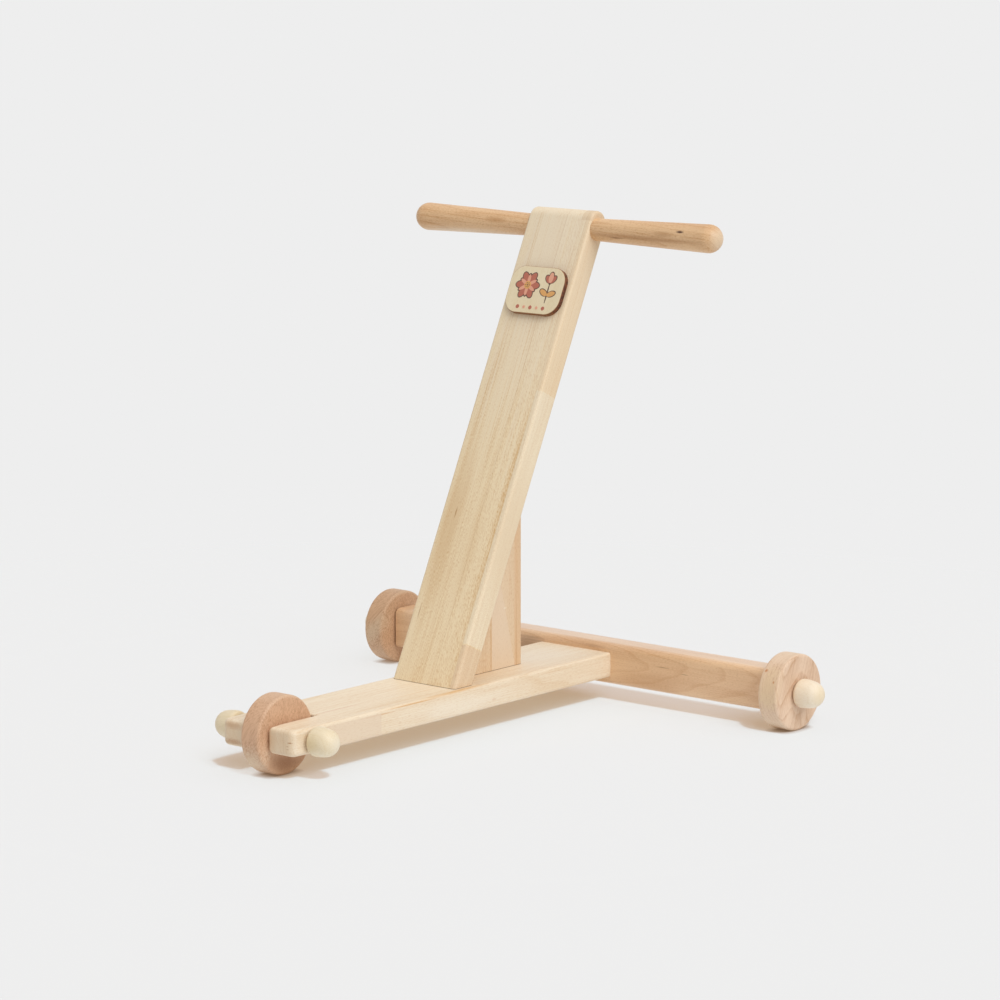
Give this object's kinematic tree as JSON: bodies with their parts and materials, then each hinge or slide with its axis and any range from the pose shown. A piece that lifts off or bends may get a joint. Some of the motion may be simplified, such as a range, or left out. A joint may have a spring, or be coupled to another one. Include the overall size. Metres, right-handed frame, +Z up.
{
  "type": "push walker",
  "caption": "Wooden push walker for a toddler: a flat board with a forked front wheel, a rear cross-beam with a wheel at each end, and a braced, leaning post with a turned handle.",
  "frame": {"origin": "on the floor, in the middle plane, half way between the front axle and the rear axles", "axes": "+X across the walker, -Y towards the front wheel, +Y towards the cross-beam and the child, +Z up"},
  "size_m": [0.517, 0.466, 0.434],
  "materials": {
    "board_wood": "fine sanded, clear matt oil",
    "post_wood": "fine sanded, clear matt oil",
    "gusset_wood": "fine sanded, clear matt oil",
    "beam_wood": "fine sanded, clear matt oil",
    "grip_wood": "turned, sanded, clear matt oil",
    "wheel_wood": "turned, sanded, clear matt oil",
    "cap_wood": "turned, sanded, clear matt oil",
    "dowel_wood": "machined, left bare",
    "plaque_wood": "cut with a hot beam, dark scorched edge",
    "screw_steel": "zinc plated"
  },
  "bodies": {
    "frame": {"base_board": "board_wood", "cross_beam": "beam_wood", "main_post": "post_wood", "rear_gusset": "gusset_wood", "handle_grip_left": "grip_wood", "handle_grip_right": "grip_wood", "handle_core_dowel": "dowel_wood", "post_plaque": "plaque_wood", "front_axle": "dowel_wood", "rear_axle_left": "dowel_wood", "rear_axle_right": "dowel_wood", "front_cap_left": "cap_wood", "front_cap_right": "cap_wood", "rear_cap_left": "cap_wood", "rear_cap_right": "cap_wood", "post_screws": "screw_steel", "gusset_screws": "screw_steel", "beam_screws": "screw_steel", "beam_screw_plugs": "beam_wood", "beam_dowels": "dowel_wood", "gusset_dowels": "dowel_wood"},
    "front_wheel": {"front_wheel": "wheel_wood"},
    "rear_wheel_left": {"rear_wheel_left": "wheel_wood"},
    "rear_wheel_right": {"rear_wheel_right": "wheel_wood"}
  },
  "joints": [
    {"name": "front_wheel_spin", "type": "hinge", "parent": "frame", "child": "front_wheel", "pos_m": [0, -0.2, 0.033], "axis": [1, 0, 0], "continuous": true},
    {"name": "rear_wheel_left_spin", "type": "hinge", "parent": "frame", "child": "rear_wheel_left", "pos_m": [-0.224, 0.2, 0.033], "axis": [1, 0, 0], "continuous": true},
    {"name": "rear_wheel_right_spin", "type": "hinge", "parent": "frame", "child": "rear_wheel_right", "pos_m": [0.224, 0.2, 0.033], "axis": [1, 0, 0], "continuous": true}
  ]
}
